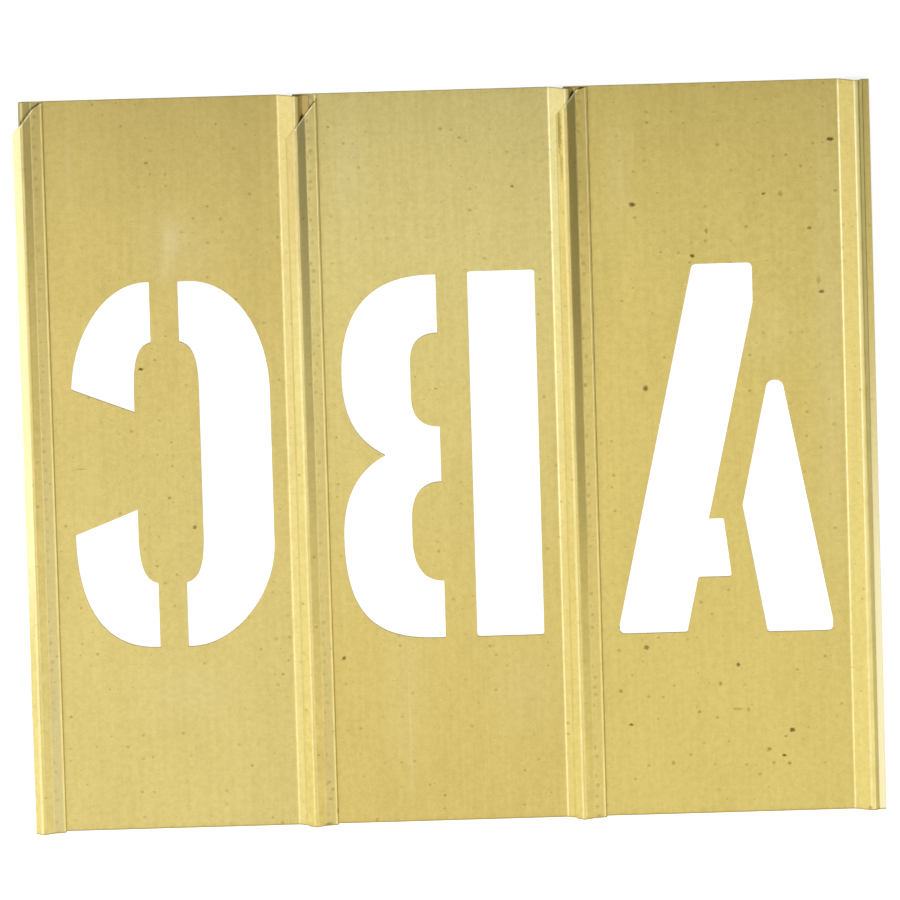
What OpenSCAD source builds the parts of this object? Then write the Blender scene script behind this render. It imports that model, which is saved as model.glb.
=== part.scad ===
// Interlocking lettering stencil: three letter plates folded from thin brass sheet.
// Every plate has a folded pocket along its left edge and a raised hook along its right edge.
// The hook of one plate slides lengthwise into the pocket of the next, so plates join into words.
// Frame: X across the word, Y along the plates, Z up. The smooth underside lies on Z = 0.
// Seen from above, on the seam side, the letters are reversed. They read correctly from the smooth side.

/* [Plates] */
// Length of every plate along its seams
plate_length = 152.4; // [120:0.1:200]
// Thickness of the brass sheet
sheet = 0.3; // [0.25:0.01:0.4]
// Width of the flat field of the C plate
c_field = 46; // [43:0.5:70]
// Width of the flat field of the B plate
b_field = 45.3; // [43:0.1:70]
// Width of the flat field of the A plate
a_field = 49; // [45:0.5:70]

/* [Seams] */
// Width of a seam, from the bend of one plate to the pocket fold of the next
seam_w = 7.7; // [7.4:0.1:9]
// Gap left where the edge is folded flat onto the plate
hem_gap = 0.05; // [0.02:0.01:0.1]
// Clearance above and below the hook's lip in the pocket
slip = 0.06; // [0.03:0.01:0.12]
// Distance from the pocket fold back to the hem fold
hem_w = 4.8; // [4.4:0.1:5.2]
// Inner height of the pocket at its fold
pocket_h = 0.3; // [0.25:0.01:0.5]
// Width of the flap's strip beside the pocket fold
strip_w = 2.4; // [2:0.1:2.8]
// Rise of that strip towards the mouth of the pocket, in degrees
strip_angle = 8; // [6:0.5:12]
// Distance from the pocket fold to the flap's ridge
ridge_x = 4.55; // [4.2:0.05:4.9]
// Height of the flap's ridge over the underside
ridge_h = 2.4; // [2.2:0.05:3]
// Bend radius of that ridge at the middle of the sheet
ridge_r = 0.95; // [0.5:0.05:1.1]
// Distance from the pocket fold to the flap's free edge
flap_w = 6; // [5.6:0.1:6.3]
// Height of the flap's free edge, at the middle of the sheet
flap_edge_h = 1.22; // [1.15:0.01:1.5]
// Height of the hook's crest over the underside
crest_h = 1.55; // [1.4:0.05:1.7]
// Distance from the near side of the hook's crest to the pocket fold that it enters
crest_x = 4.45; // [4.2:0.05:4.7]
// Width of the crest's flat top
crest_w = 0.75; // [0.6:0.05:0.9]
// Distance from the start of the hook's lip to that fold
lip_start = 2.9; // [2.6:0.05:3]
// Distance from the end of the hook's lip to that fold
lip_end = 1.6; // [1.3:0.1:1.9]
// Bend radius at the middle of the sheet
bend_r = 0.45; // [0.35:0.05:0.55]

/* [Lead-in corners] */
// Slope of the cut across each flap's top corner, in degrees
clip_angle = 52; // [45:1:60]
// Length of the cut along the free edge of the C plate's flap
c_clip = 6.3; // [4:0.1:9]
// Length of the cut along the free edge of the B plate's flap
b_clip = 8.6; // [4:0.1:9]
// Length of the cut along the free edge of the A plate's flap
a_clip = 5.3; // [4:0.1:9]

/* [Letters] */
// Height of every letter
letter_h = 76.2; // [60:0.1:90]
// Squareness of the outer curves, from 0.55, an ellipse, to 1, a corner
squareness = 0.6; // [0.55:0.01:0.8]

/* [Letter C] */
// Width of the C
c_w = 39; // [34:0.5:42]
// Width of the curve at each corner of the C
c_shoulder_w = 15.2; // [12:0.1:16]
// Height of the curve at each corner of the C
c_shoulder_h = 23.4; // [18:0.1:28]
// Width of the C's closed stroke
c_stroke = 13.9; // [12:0.1:15]
// Width of the C's inner field
c_counter_w = 12.8; // [11:0.1:14]
// Thickness of the C's upper arm
c_arm_top = 12.4; // [10:0.1:16]
// Thickness of the C's lower arm
c_arm_bottom = 13.3; // [10:0.1:16]
// Width of the bridge that holds the C's inner field
c_bridge = 5.6; // [4:0.1:8]
// Height of the C's mouth at the inner field
c_mouth_inner = 20.3; // [14:0.1:26]
// Height of the C's mouth at its outer side
c_mouth_outer = 30.4; // [27:0.1:34]

/* [Letter B] */
// Width of the B
b_w = 38.8; // [36:0.1:42]
// Width of the B's stem
b_stem = 13.2; // [11:0.1:15]
// Width of the bridge between the B's stem and bowls
b_bridge = 6.2; // [4:0.1:8]
// Height of the B's waist over its foot
b_waist = 37.6; // [34:0.1:40]
// Depth of the notch at the B's waist
b_notch = 8.6; // [6:0.1:10]
// Width of the B's upper inner field
b_upper_w = 5.5; // [4:0.1:7]
// Width of the B's lower inner field
b_lower_w = 6; // [4:0.1:7]
// Foot of the B's upper inner field
b_upper_low = 43.3; // [41:0.1:46]
// Top of the B's upper inner field
b_upper_high = 63; // [58:0.1:65]
// Foot of the B's lower inner field
b_lower_low = 11.3; // [9:0.1:14]
// Top of the B's lower inner field
b_lower_high = 31.6; // [28:0.1:34]
// Distance of the B from the middle of its field, towards the pocket
b_shift_x = 0.45; // [0:0.05:1]
// Distance of the B below the middle of its field
b_shift_y = 0.35; // [0:0.05:1]

/* [Letter A] */
// Width of the A
a_w = 42; // [40:0.5:44]
// Width of the A's head
a_head = 12.1; // [10:0.1:14]
// Straight side of the A's head
a_head_side = 7.8; // [5:0.1:10]
// Width of the foot of the A's long leg
a_foot = 13.3; // [11:0.1:15]
// Width of the bridge between the A's legs, measured level
a_bridge = 6; // [4.5:0.1:7]
// Foot of the A's crossbar
a_bar_low = 11.4; // [9:0.1:14]
// Top of the A's crossbar
a_bar_high = 23.6; // [20:0.1:26]
// Height of the A's inner corner, where its short leg is widest
a_knee = 26.2; // [24:0.1:30]
// Top of the A's short leg
a_short_top = 52.2; // [46:0.1:56]
// Radius of the A's outer corners
a_corner_r = 1; // [0.5:0.1:1.6]

/* [Hidden] */

// Heights of the middle of the sheet in each folded layer
base_z = sheet / 2;
hem_z = base_z + sheet + hem_gap;
lip_z = hem_z + sheet + slip;
hem_r = (sheet + hem_gap) / 2;
pocket_r = (sheet + pocket_h) / 2;

// Places of the plates across the word, and the middle of the whole
b_x = c_field + seam_w;
a_x = b_x + b_field + seam_w;
flap_slope = atan((ridge_h - base_z - flap_edge_h) / (flap_w - ridge_x));
left_x = -flap_w - sheet / 2 * sin(flap_slope);
right_x = a_x + a_field + seam_w - lip_end;
middle_x = (left_x + right_x) / 2;
letter_y = -letter_h / 2;
brass = [0.80, 0.71, 0.42];
bend_steps = 5;
curve_steps = 10;
cut_over = 1;

// Geometry of points and curves
function unit(v) = v / norm(v);
function left_normal(p, q) = [p.y - q.y, q.x - p.x] / norm(q - p);
function backwards(list) = [for (i = [len(list) - 1 : -1 : 0]) list[i]];
function arc(c, r, from, to, steps) =
    [for (i = [0 : steps]) let (a = from + (to - from) * i / steps) c + r * [cos(a), sin(a)]];

// The arc that rounds the corner q, between its neighbours p and s, to the radius r
function bent(p, q, s, r, steps) =
    let (u = unit(p - q), v = unit(s - q), half = acos(u * v) / 2,
         c = q + unit(u + v) * r / sin(half), first = q + u * r / tan(half) - c,
         turn = 2 * (90 - half) * sign(v.x * u.y - v.y * u.x),
         from = atan2(first.y, first.x))
    arc(c, r, from, from + turn, steps);

// A closed outline from corners [x, y, radius]
function rounded(corners) =
    let (n = len(corners))
    [for (i = [0 : n - 1])
        let (p = corners[(i + n - 1) % n], q = corners[i], s = corners[(i + 1) % n])
        each q[2] > 0
            ? bent([p.x, p.y], [q.x, q.y], [s.x, s.y], q[2], bend_steps)
            : [[q.x, q.y]]];

// A curve from p to q that is drawn towards the corner c by the share k
function bow(p, c, q, k) =
    let (h = p + k * (c - p), j = q + k * (c - q))
    [for (i = [0 : curve_steps]) let (t = i / curve_steps, m = 1 - t)
        m * m * m * p + 3 * m * m * t * h + 3 * m * t * t * j + t * t * t * q];

// One side of a bent sheet, at the distance d from its middle line
function side(line, d) =
    let (last = len(line) - 1)
    [for (i = [0 : last])
        let (m = left_normal(line[max(i - 1, 0)], line[max(i, 1)]),
             n = left_normal(line[min(i, last - 1)], line[min(i + 1, last)]))
        line[i] + d * (m + n) / (1 + m * n)];

// The middle line of a plate's section, from the flap's free edge to the end of the hook's lip
function section_line(field) =
    let (fold_c = [-pocket_r - sheet / 2, hem_z + pocket_r],
         strip_end = fold_c + pocket_r * [sin(strip_angle), cos(strip_angle)],
         strip_top = [-strip_w, strip_end.y + (strip_end.x + strip_w) * tan(strip_angle)],
         edge = [-flap_w, flap_edge_h],
         ridge = [-ridge_x, ridge_h - base_z],
         hem_c = [-hem_w + hem_r + sheet / 2, base_z + hem_r],
         bend = [field, base_z],
         next = field + seam_w,
         crest = [next - crest_x, crest_h - sheet / 2],
         crest_end = crest + [crest_w, 0],
         lip = [next - lip_start, lip_z],
         tip = [next - lip_end, lip_z])
    concat([edge],
        bent(edge, ridge, strip_top, ridge_r, bend_steps),
        bent(ridge, strip_top, strip_end, bend_r, bend_steps),
        arc(fold_c, pocket_r, 90 - strip_angle, -90, 2 * bend_steps),
        arc(hem_c, hem_r, 90, 270, 2 * bend_steps),
        bent(hem_c, bend, crest, bend_r, bend_steps),
        bent(bend, crest, crest_end, bend_r, bend_steps),
        bent(crest, crest_end, lip, bend_r, bend_steps),
        bent(crest_end, lip, tip, bend_r, bend_steps),
        [tip]);

module folded_sheet(field) {
    line = section_line(field);
    rotate([90, 0, 0])
        linear_extrude(plate_length, center = true)
            polygon(concat(side(line, sheet / 2), backwards(side(line, -sheet / 2))));
}

// The corner that is cut off the top layer of the pocket, so that the next hook finds its way in
module lead_in(depth) {
    run = depth / tan(clip_angle);
    rise = cut_over * tan(clip_angle);
    translate([-flap_w - sheet / 2, plate_length / 2, hem_z + sheet / 2 + slip / 2])
        linear_extrude(ridge_h)
            polygon([[-cut_over, -depth - rise], [run + cut_over, rise], [-cut_over, rise]]);
}

// Letters are drawn as they read, with the foot on y = 0 and the middle on x = 0
module letter_c() {
    w = c_w / 2;
    top = letter_h;
    near = w - c_shoulder_w;
    counter_x = -w + c_stroke + c_counter_w / 2;
    counter_end = 1.6;
    difference() {
        polygon(concat(
            bow([near, 0], [w, 0], [w, c_shoulder_h], squareness),
            bow([w, top - c_shoulder_h], [w, top], [near, top], squareness),
            bow([-near, top], [-w, top], [-w, top - c_shoulder_h], squareness),
            bow([-w, c_shoulder_h], [-w, 0], [-near, 0], squareness)));
        translate([counter_x, 0])
            letter_c_counter(c_counter_w / 2, c_arm_bottom, top - c_arm_top, counter_end);
        translate([counter_x - c_bridge / 2, -cut_over])
            square([c_bridge, top + 2 * cut_over]);
        letter_c_mouth(counter_x + c_counter_w / 2, w);
    }
}

module letter_c_counter(w, low, high, flat) {
    corner_h = 10.5;
    square_k = 0.74;
    polygon(concat(
        bow([flat, low], [w, low], [w, low + corner_h], square_k),
        bow([w, high - corner_h], [w, high], [flat, high], square_k),
        bow([-flat, high], [-w, high], [-w, high - corner_h], square_k),
        bow([-w, low + corner_h], [-w, low], [-flat, low], square_k)));
}

// The mouth widens from the inner field to the outer side, and runs on past it at the same slope
module letter_c_mouth(inner_x, outer_x) {
    middle = (letter_h + c_arm_bottom - c_arm_top) / 2;
    slope = (c_mouth_outer - c_mouth_inner) / 2 / (outer_x - inner_x);
    inner = c_mouth_inner / 2 - cut_over * slope;
    outer = c_mouth_outer / 2 + cut_over * slope;
    polygon([[inner_x - cut_over, middle - inner], [outer_x + cut_over, middle - outer],
             [outer_x + cut_over, middle + outer], [inner_x - cut_over, middle + inner]]);
}

module letter_b() {
    w = b_w / 2;
    bowl_x = -w + b_stem + b_bridge;
    straight = 1.2;
    curve_x = bowl_x + straight;
    corner_r = 0.5;
    upper_w = w - 0.4;
    notch_x = w - b_notch;
    upper_curve_h = 21;
    upper_y = letter_h - upper_curve_h;
    lower_y = 21.4;
    notch_pull = 4.5;
    bowl_k = 0.66;
    foot_k = 0.69;
    waist_k = 0.7;
    polygon(rounded([[-w, 0, corner_r], [-w + b_stem, 0, corner_r],
                     [-w + b_stem, letter_h, corner_r], [-w, letter_h, corner_r]]));
    difference() {
        polygon(concat(
            [[bowl_x, 0]],
            bow([curve_x, 0], [w, 0], [w, lower_y], foot_k),
            bow([w, lower_y], [w, b_waist - notch_pull], [notch_x, b_waist], bowl_k),
            bow([notch_x, b_waist], [upper_w, b_waist + notch_pull], [upper_w, upper_y], waist_k),
            bow([upper_w, upper_y], [upper_w, letter_h], [curve_x, letter_h], bowl_k),
            [[bowl_x, letter_h]]));
        letter_b_counter(bowl_x, b_lower_w, b_lower_low, b_lower_high, low_curve = 9, high_curve = 8);
        letter_b_counter(bowl_x, b_upper_w, b_upper_low, b_upper_high, low_curve = 6.4, high_curve = 6.1);
    }
}

// An inner field of the B, open towards the bridge
module letter_b_counter(x, width, low, high, low_curve, high_curve) {
    w = x + width;
    round_k = 0.66;
    polygon(concat(
        [[x - cut_over, low]],
        bow([x, low], [w, low], [w, low + low_curve], round_k),
        bow([w, high - high_curve], [w, high], [x, high], round_k),
        [[x - cut_over, high]]));
}

// The long leg runs from the foot at the right to the head, and the short leg stands at its left.
// The bridge between them follows the long leg's inner side, which leans by inner_lean.
module letter_a() {
    w = a_w / 2;
    head_right = 5;
    head_left = head_right - a_head;
    foot_side = 2;
    small_r = 0.45;
    bar_w = 6.6;
    bar_slant = 1.3;
    inner_top = letter_h - a_head_side;
    foot_left = w - a_foot;
    inner_lean = (foot_left - head_left) / inner_top;
    bar_left = foot_left - inner_lean * a_bar_low - bar_w;
    polygon(rounded([
        [w, 0, a_corner_r],
        [w, foot_side, a_corner_r],
        [head_right, letter_h, a_corner_r],
        [head_left, letter_h, a_corner_r],
        [head_left, inner_top, a_corner_r],
        [foot_left - inner_lean * a_bar_high, a_bar_high, 0],
        [bar_left + bar_slant, a_bar_high, small_r],
        [bar_left, a_bar_low, small_r],
        [foot_left - inner_lean * a_bar_low, a_bar_low, small_r],
        [foot_left, 0, small_r]]));
    letter_a_short_leg(w, foot_side, foot_left, inner_lean, small_r);
}

module letter_a_short_leg(w, foot_side, foot_left, inner_lean, small_r) {
    apex_w = 2.9;
    apex_r = 1.65;
    foot_w = 12.9;
    knee_x = foot_left - inner_lean * a_knee - a_bridge;
    apex_right = foot_left - inner_lean * a_short_top - a_bridge;
    polygon(rounded([
        [-w, 0, a_corner_r],
        [-w + foot_w, 0, small_r],
        [knee_x, a_knee, a_corner_r],
        [apex_right, a_short_top, apex_r],
        [apex_right - apex_w, a_short_top, apex_r],
        [-w, foot_side, a_corner_r]]));
}

// A plate: its folded sheet, less the letter and the lead-in corner
module plate(x, field, clip) {
    color(brass)
        translate([x - middle_x, 0, 0])
            difference() {
                folded_sheet(field);
                translate([field / 2, letter_y, -cut_over])
                    linear_extrude(2 * cut_over)
                        mirror([1, 0])
                            children();
                lead_in(clip);
            }
}

module plate_c() {
    plate(0, c_field, c_clip) letter_c();
}

module plate_b() {
    plate(b_x, b_field, b_clip)
        translate([b_shift_x, -b_shift_y])
            letter_b();
}

module plate_a() {
    plate(a_x, a_field, a_clip) letter_a();
}

plate_c();
plate_b();
plate_a();
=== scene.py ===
"""Interlocking brass lettering stencil: three folded letter plates, seen on the seam side."""

import bisect
import math

import bpy
from mathutils import Matrix, Vector
from mathutils.geometry import delaunay_2d_cdt


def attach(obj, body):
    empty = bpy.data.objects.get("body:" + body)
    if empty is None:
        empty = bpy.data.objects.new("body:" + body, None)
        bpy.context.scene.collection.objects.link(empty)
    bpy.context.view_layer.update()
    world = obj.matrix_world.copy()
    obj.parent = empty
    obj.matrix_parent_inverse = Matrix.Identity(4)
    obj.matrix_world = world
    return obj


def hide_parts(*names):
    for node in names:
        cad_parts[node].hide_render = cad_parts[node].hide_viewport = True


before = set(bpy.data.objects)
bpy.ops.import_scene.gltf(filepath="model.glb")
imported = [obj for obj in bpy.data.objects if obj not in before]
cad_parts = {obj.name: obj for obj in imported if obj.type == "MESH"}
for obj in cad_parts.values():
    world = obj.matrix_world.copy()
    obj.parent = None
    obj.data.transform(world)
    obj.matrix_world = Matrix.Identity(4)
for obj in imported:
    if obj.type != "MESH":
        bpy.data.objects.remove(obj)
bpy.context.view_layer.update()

# Sizes in millimetres, as in the part's source
MM = 0.001
LENGTH = 152.4
END = LENGTH / 2
SHEET = 0.3
HALF = SHEET / 2
HEM_GAP = 0.05
SLIP = 0.06
POCKET_H = 0.3
HEM_W = 4.8
HEM_R = (SHEET + HEM_GAP) / 2
HEM_Z = HALF + SHEET + HEM_GAP
FOLD_R = (SHEET + POCKET_H) / 2
STRIP_W = 2.4
STRIP_ANGLE = 8
RIDGE_X = 4.55
FLAP_W = 6
FLAP_EDGE_Z = 1.22
CLIP_ANGLE = 52
SEAM = 7.7
CREST_X = 4.45
CREST_Z = 1.4
CREST_W = 0.75
LIP_START = 2.9
LIP_END = 1.6
LIP_Z = HEM_Z + SHEET + SLIP
LETTER_H = 76.2

# Each plate's pocket fold, the width of its field and the length of its clipped corner
C_FIELD, B_FIELD, A_FIELD = 46, 45.3, 49
B_X = C_FIELD + SEAM
A_X = B_X + B_FIELD + SEAM
PLATES = {"plate_c": (0, C_FIELD, 6.3), "plate_b": (B_X, B_FIELD, 8.6), "plate_a": (A_X, A_FIELD, 5.3)}

# Bends of the pressed seam, with radii at the middle of the sheet. The part's source has one radius
# for most of them. Here the ridge is tighter, with its corner set lower to match, and the rest rounder.
RIDGE_Z = 2.215
RIDGE_R = 0.85
STRIP_R = 0.8
SHOULDER_R = 0.5
SHOULDER_ANGLE = 30
BEND_R = 2.2
CREST_R = 0.7
LIP_R = 0.6

# Middle of the whole row
FLAP_SLOPE = math.atan((RIDGE_Z - FLAP_EDGE_Z) / (FLAP_W - RIDGE_X))
LEFT_X = -FLAP_W - HALF * math.sin(FLAP_SLOPE)
RIGHT_X = A_X + A_FIELD + SEAM - LIP_END
MIDDLE_X = (LEFT_X + RIGHT_X) / 2

# The mesh
ROWS = 96
GRID = 1.6
COLUMN = 1.2
OUTLINE_STEP = 0.8
OUTLINE_CLEAR = 0.55
FIELD_MARGIN = 2.0
BEND_MARGIN = 1.2
EDGE = 0.04
CURVE_STEPS = 22
ARC_STEP = 6
WELD = 0.003
SMOOTH_ANGLE = 32
SAME_POINT = 1e-3
MERGE = 1e-5


# Section of a plate
def unit(x, y):
    n = math.hypot(x, y)
    return x / n, y / n


def arc(c, r, start, end):
    steps = max(3, math.ceil(abs(end - start) / ARC_STEP))
    angles = [math.radians(start + (end - start) * i / steps) for i in range(steps + 1)]
    return [(c[0] + r * math.cos(a), c[1] + r * math.sin(a)) for a in angles]


def bent(p, q, s, r):
    """The arc that rounds the corner q, between its neighbours p and s, to the radius r."""
    u = unit(p[0] - q[0], p[1] - q[1])
    v = unit(s[0] - q[0], s[1] - q[1])
    half = math.acos(u[0] * v[0] + u[1] * v[1]) / 2
    m = unit(u[0] + v[0], u[1] + v[1])
    c = (q[0] + m[0] * r / math.sin(half), q[1] + m[1] * r / math.sin(half))
    first = (q[0] + u[0] * r / math.tan(half) - c[0], q[1] + u[1] * r / math.tan(half) - c[1])
    turn = (180 - 2 * math.degrees(half)) * (1 if v[0] * u[1] - v[1] * u[0] > 0 else -1)
    start = math.degrees(math.atan2(first[1], first[0]))
    return arc(c, r, start, start + turn)


def pocket_fold(lean):
    """The strip's fall over a shoulder, and the tight fold that follows it."""
    steep = math.radians(SHOULDER_ANGLE)
    drop = SHOULDER_R * (math.cos(lean) - math.cos(steep))
    r = (2 * FOLD_R - drop) / (1 + math.cos(steep))
    tight_c = (-HALF - r, HEM_Z + r)
    first = (tight_c[0] + r * math.sin(steep), tight_c[1] + r * math.cos(steep))
    shoulder_c = (first[0] - SHOULDER_R * math.sin(steep), first[1] - SHOULDER_R * math.cos(steep))
    shoulder = arc(shoulder_c, SHOULDER_R, 90 - STRIP_ANGLE, 90 - SHOULDER_ANGLE)[:-1]
    return shoulder, arc(tight_c, r, 90 - SHOULDER_ANGLE, -90)


def centre_line(field):
    """Middle line of the section, and the index where the pocket fold is half way round."""
    lean = math.radians(STRIP_ANGLE)
    fold_c = (-FOLD_R - HALF, HEM_Z + FOLD_R)
    strip_end = (fold_c[0] + FOLD_R * math.sin(lean), fold_c[1] + FOLD_R * math.cos(lean))
    strip_top = (-STRIP_W, strip_end[1] + (strip_end[0] + STRIP_W) * math.tan(lean))
    edge = (-FLAP_W, FLAP_EDGE_Z)
    ridge = (-RIDGE_X, RIDGE_Z)
    line = [edge]
    line += bent(edge, ridge, strip_top, RIDGE_R)
    line += bent(ridge, strip_top, strip_end, STRIP_R)
    shoulder, fold = pocket_fold(lean)
    line += shoulder
    half_fold = len(line) + len(fold) // 2
    line += fold

    hem_c = (-HEM_W + HEM_R + HALF, HALF + HEM_R)
    line += arc(hem_c, HEM_R, 90, 270)
    line.append((FIELD_MARGIN, HALF))
    line.append((field - BEND_MARGIN, HALF))

    bend = (field, HALF)
    crest = (field + SEAM - CREST_X, CREST_Z)
    crest_end = (crest[0] + CREST_W, CREST_Z)
    lip = (field + SEAM - LIP_START, LIP_Z)
    tip = (field + SEAM - LIP_END, LIP_Z)
    line += bent(hem_c, bend, crest, BEND_R)
    line += bent(bend, crest, crest_end, CREST_R)
    line += bent(crest, crest_end, lip, CREST_R)
    line += bent(crest_end, lip, tip, LIP_R)
    line.append(tip)
    return line, half_fold


class Section:
    """Maps the developed width s to the place and the normal on the bent sheet."""

    def __init__(self, field):
        line, self.half_fold = centre_line(field)
        self.points = line
        self.s = [0.0]
        for p, q in zip(line, line[1:]):
            self.s.append(self.s[-1] + math.dist(p, q))
        self.normals = []
        last = len(line) - 1
        for i in range(last + 1):
            p, q = line[max(i - 1, 0)], line[min(i + 1, last)]
            t = unit(q[0] - p[0], q[1] - p[1])
            if 0 < i < last:
                a = unit(line[i][0] - p[0], line[i][1] - p[1])
                b = unit(q[0] - line[i][0], q[1] - line[i][1])
                t = unit(a[0] + b[0], a[1] + b[1])
            self.normals.append((-t[1], t[0]))

    def at(self, s):
        i = min(max(bisect.bisect_right(self.s, s) - 1, 0), len(self.s) - 2)
        t = (s - self.s[i]) / (self.s[i + 1] - self.s[i])
        p, q = self.points[i], self.points[i + 1]
        m, n = self.normals[i], self.normals[i + 1]
        k = min(max(t, 0), 1)
        normal = unit(m[0] + (n[0] - m[0]) * k, m[1] + (n[1] - m[1]) * k)
        return p[0] + (q[0] - p[0]) * t, p[1] + (q[1] - p[1]) * t, normal


# Outlines of the letters, as they read, with the foot on y = 0 and the middle on x = 0. Some of
# their sizes follow the photograph more closely than the part's source does.
def bow(p, c, q, k):
    """A curve from p to q that is drawn towards the corner c by the share k."""
    h = (p[0] + k * (c[0] - p[0]), p[1] + k * (c[1] - p[1]))
    j = (q[0] + k * (c[0] - q[0]), q[1] + k * (c[1] - q[1]))
    out = []
    for i in range(CURVE_STEPS + 1):
        t = i / CURVE_STEPS
        m = 1 - t
        weights = (m**3, 3 * m * m * t, 3 * m * t * t, t**3)
        out.append(tuple(sum(w * v[axis] for w, v in zip(weights, (p, h, j, q))) for axis in (0, 1)))
    return out


def rounded(corners):
    """A closed outline from corners (x, y, radius)."""
    out = []
    n = len(corners)
    for i, q in enumerate(corners):
        out += bent(corners[i - 1], q, corners[(i + 1) % n], q[2]) if q[2] > 0 else [q[:2]]
    return out


def moved(loops, dx, dy):
    return [[(x + dx, y + dy) for x, y in loop] for loop in loops]


def within(p, poly):
    x, y = p
    hit = False
    for (ax, ay), (bx, by) in zip(poly, poly[1:] + poly[:1]):
        if (ay > y) != (by > y) and x < ax + (y - ay) / (by - ay) * (bx - ax):
            hit = not hit
    return hit


# By how much a loop runs on where it opens into another one
OVER = 1


def letter_c():
    """Loops that are cut, and loops that stay inside them."""
    w = 19.5
    top = LETTER_H
    shoulder_w, shoulder_h = 15.2, 23.4
    near, head = w - shoulder_w, top - shoulder_h
    # The four corners differ a little in fullness, and the one at the left foot is shorter
    foot_right_k, head_right_k, head_left_k, foot_left_k = 0.65, 0.535, 0.565, 0.51
    foot_left_x, foot_left_y = -near + 1.6, shoulder_h - 2.2
    outer = bow((near, 0), (w, 0), (w, shoulder_h), foot_right_k)
    outer += bow((w, head), (w, top), (near, top), head_right_k)
    outer += bow((-near, top), (-w, top), (-w, head), head_left_k)
    outer += bow((-w, foot_left_y), (-w, 0), (foot_left_x, 0), foot_left_k)

    stroke = 13.9
    arm_bottom, arm_top = 13.3, 12.4
    counter_w = 6.4
    counter_x = -w + stroke + counter_w
    low, high = arm_bottom, top - arm_top
    counter = moved([letter_c_counter(counter_w, low, high)], counter_x, 0)[0]

    half_bridge = 2.8
    left, right = counter_x - half_bridge, counter_x + half_bridge
    bridge = [(left, -OVER), (right, -OVER), (right, top + OVER), (left, top + OVER)]

    mouth = letter_c_mouth(counter_x + counter_w, w, (low + high) / 2)
    shift_x = -0.25
    return moved([outer], shift_x, 0), moved([counter, bridge, mouth], shift_x, 0)


def letter_c_mouth(inner_x, outer_x, middle):
    """The mouth widens from the inner field to the outer side, and runs on at the same slope."""
    inner, outer = 20.3 / 2, 30.4 / 2
    lift = 0.5
    middle += lift
    slope = (outer - inner) / (outer_x - inner_x)
    inner_x -= OVER
    outer_x += OVER
    inner -= OVER * slope
    outer += OVER * slope
    return [(inner_x, middle - inner), (outer_x, middle - outer),
            (outer_x, middle + outer), (inner_x, middle + inner)]


def letter_c_counter(w, low, high):
    """The C's inner field, around x = 0."""
    flat = 1.6
    corner_h = 10.5
    k = 0.74
    loop = bow((flat, low), (w, low), (w, low + corner_h), k)
    loop += bow((w, high - corner_h), (w, high), (flat, high), k)
    loop += bow((-flat, high), (-w, high), (-w, high - corner_h), k)
    loop += bow((-w, low + corner_h), (-w, low), (-flat, low), k)
    return loop


def letter_b():
    """Loops that are cut, and loops that stay inside them."""
    w = 19.4
    stem_w = 13.2
    bridge_w = 6.2
    corner_r = 0.5
    bowl = -w + stem_w + bridge_w
    stem_right = -w + stem_w
    stem = rounded([(-w, 0, corner_r), (stem_right, 0, corner_r),
                    (stem_right, LETTER_H, corner_r), (-w, LETTER_H, corner_r)])

    waist, notch, pull = 38.4, w - 8.6, 4.5
    upper, crown = w - 0.4, LETTER_H - 0.45
    upper_y, lower_y = LETTER_H - 21, 21.4
    foot_start, crown_start = bowl + 2.2, bowl + 1.2
    foot_k, bowl_k, waist_k = 0.72, 0.66, 0.7
    bowls = [(bowl, 0)] + bow((foot_start, 0), (w, 0), (w, lower_y), foot_k)
    bowls += bow((w, lower_y), (w, waist - pull), (notch, waist), bowl_k)
    bowls += bow((notch, waist), (upper, waist + pull), (upper, upper_y), waist_k)[1:]
    bowls += bow((upper, upper_y), (upper, crown), (crown_start, crown), bowl_k)[1:]
    bowls.append((bowl, crown))

    lower_field = letter_b_field(bowl, width=6, low=11.9, high=32.6, low_curve=9, high_curve=8)
    upper_field = letter_b_field(bowl, width=5.5, low=44.1, high=63.6, low_curve=6.4, high_curve=6.1)
    shift = (0.45, 0.35)
    return moved([stem, bowls], *shift), moved([lower_field, upper_field], *shift)


def letter_b_field(x, width, low, high, low_curve, high_curve):
    """An inner field of the B, open towards the bridge."""
    w = x + width
    k = 0.66
    loop = [(x - OVER, low)] + bow((x, low), (w, low), (w, low + low_curve), k)
    loop += bow((w, high - high_curve), (w, high), (x, high), k) + [(x - OVER, high)]
    return loop


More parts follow.
